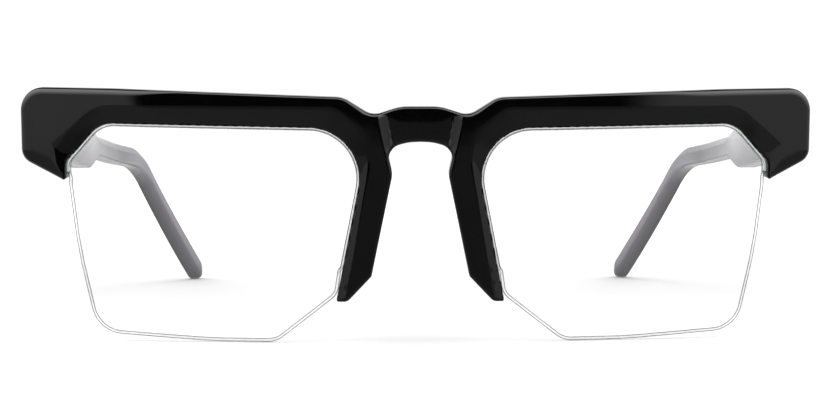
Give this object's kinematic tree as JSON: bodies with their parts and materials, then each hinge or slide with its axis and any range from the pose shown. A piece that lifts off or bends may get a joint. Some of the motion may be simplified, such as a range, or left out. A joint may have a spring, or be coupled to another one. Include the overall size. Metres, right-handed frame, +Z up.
{
  "type": "half rim eyeglasses",
  "caption": "Half rim eyeglasses: acetate brow front with a keyhole bridge, lenses held from below by nylon cords, and folding temples on five-barrel hinges.",
  "frame": {"origin": "under the middle of the open glasses, on the table that the lens bottoms and temple tips rest on", "axes": "+X towards the wearer's left, +Y from the front back along the open temples, +Z up from the table"},
  "size_m": [0.1466, 0.1432, 0.047],
  "materials": {
    "black_acetate": "polished black acetate",
    "smoke_acetate": "polished translucent smoke grey acetate, darker towards the tips",
    "clear_lens": "clear demo lens with a polished surface",
    "clear_nylon": "clear drawn nylon",
    "hinge_steel": "fine brushed nickel silver",
    "screw_steel": "bright turned steel",
    "core_steel": "drawn nickel silver wire"
  },
  "bodies": {
    "front": {"front": "black_acetate", "left_endpiece_block": "black_acetate", "right_endpiece_block": "black_acetate", "left_nose_pad": "black_acetate", "right_nose_pad": "black_acetate", "left_lens": "clear_lens", "right_lens": "clear_lens", "left_upper_liner": "clear_nylon", "right_upper_liner": "clear_nylon", "left_lower_cord": "clear_nylon", "right_lower_cord": "clear_nylon", "left_front_hinge": "hinge_steel", "right_front_hinge": "hinge_steel", "left_hinge_screw": "screw_steel", "right_hinge_screw": "screw_steel"},
    "left_temple": {"left_temple": "smoke_acetate", "left_core_wire": "core_steel", "left_temple_hinge": "hinge_steel"},
    "right_temple": {"right_temple": "smoke_acetate", "right_core_wire": "core_steel", "right_temple_hinge": "hinge_steel"}
  },
  "joints": [
    {"name": "left_temple_fold", "type": "hinge", "parent": "front", "child": "left_temple", "pos_m": [0.0636, -0.05671, 0.04156], "axis": [0, -0.0698, 0.9976], "range_deg": [0, 86]},
    {"name": "right_temple_fold", "type": "hinge", "parent": "front", "child": "right_temple", "pos_m": [-0.0636, -0.05671, 0.04156], "axis": [0, 0.0698, -0.9976], "range_deg": [0, 78]}
  ]
}
